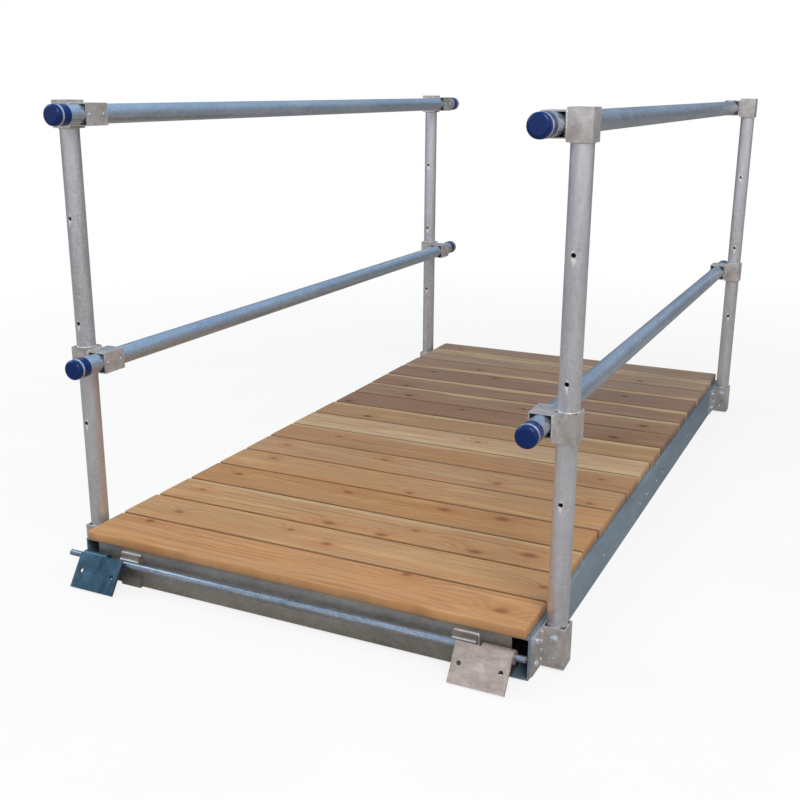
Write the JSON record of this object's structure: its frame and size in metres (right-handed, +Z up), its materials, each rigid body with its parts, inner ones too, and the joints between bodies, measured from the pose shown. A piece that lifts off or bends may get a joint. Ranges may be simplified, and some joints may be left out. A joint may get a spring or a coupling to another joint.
{
  "type": "dock gangway",
  "caption": "Straight boarded gangway on a channel frame with pipe handrails on both sides and hinge plates at one end.",
  "frame": {"origin": "centre of the frame's underside, under the middle cross member", "axes": "+Y along the walkway away from the hinged end, +X to the right across it, +Z up"},
  "size_m": [1.3514, 2.5049, 1.2185],
  "materials": {
    "frame": "galvanised, dull, lightly stained",
    "pipe": "galvanised pipe, satin",
    "deck": "unfinished cedar, knots, greying at the far end",
    "cap": "moulded plastic, navy",
    "plate": "galvanised, dark blue-grey spangle",
    "rod": "galvanised, scuffed"
  },
  "bodies": {
    "gangway": {"side_beam_l": "frame", "side_beam_r": "frame", "end_beam_front": "frame", "end_beam_back": "frame", "cross_member_1": "frame", "cross_member_2": "frame", "cross_member_3": "frame", "deck_boards": "deck", "bracket_fl": "frame", "bracket_fr": "frame", "bracket_bl": "frame", "bracket_br": "frame", "socket_fl": "frame", "socket_fr": "frame", "socket_bl": "frame", "socket_br": "frame", "post_fl": "pipe", "post_fr": "pipe", "post_bl": "pipe", "post_br": "pipe", "clamp_top_fl": "frame", "clamp_top_fr": "frame", "clamp_top_bl": "frame", "clamp_top_br": "frame", "clamp_mid_fl": "frame", "clamp_mid_fr": "frame", "clamp_mid_bl": "frame", "clamp_mid_br": "frame", "rail_top_l": "pipe", "rail_top_r": "pipe", "rail_mid_l": "pipe", "rail_mid_r": "pipe", "caps_l": "cap", "caps_r": "cap", "hinge_straps": "frame", "hinge_tube": "frame", "hinge_rod": "rod"},
    "hinge_left": {"hinge_plate_l": "plate"},
    "hinge_right": {"hinge_plate_r": "plate"}
  },
  "joints": [
    {"name": "hinge_left_swing", "type": "hinge", "parent": "gangway", "child": "hinge_left", "pos_m": [-0.535, -1.217, 0.064], "axis": [1, 0, 0], "range_deg": [-56, 46]},
    {"name": "hinge_right_swing", "type": "hinge", "parent": "gangway", "child": "hinge_right", "pos_m": [0.525, -1.217, 0.064], "axis": [1, 0, 0], "range_deg": [-56, 46]}
  ]
}
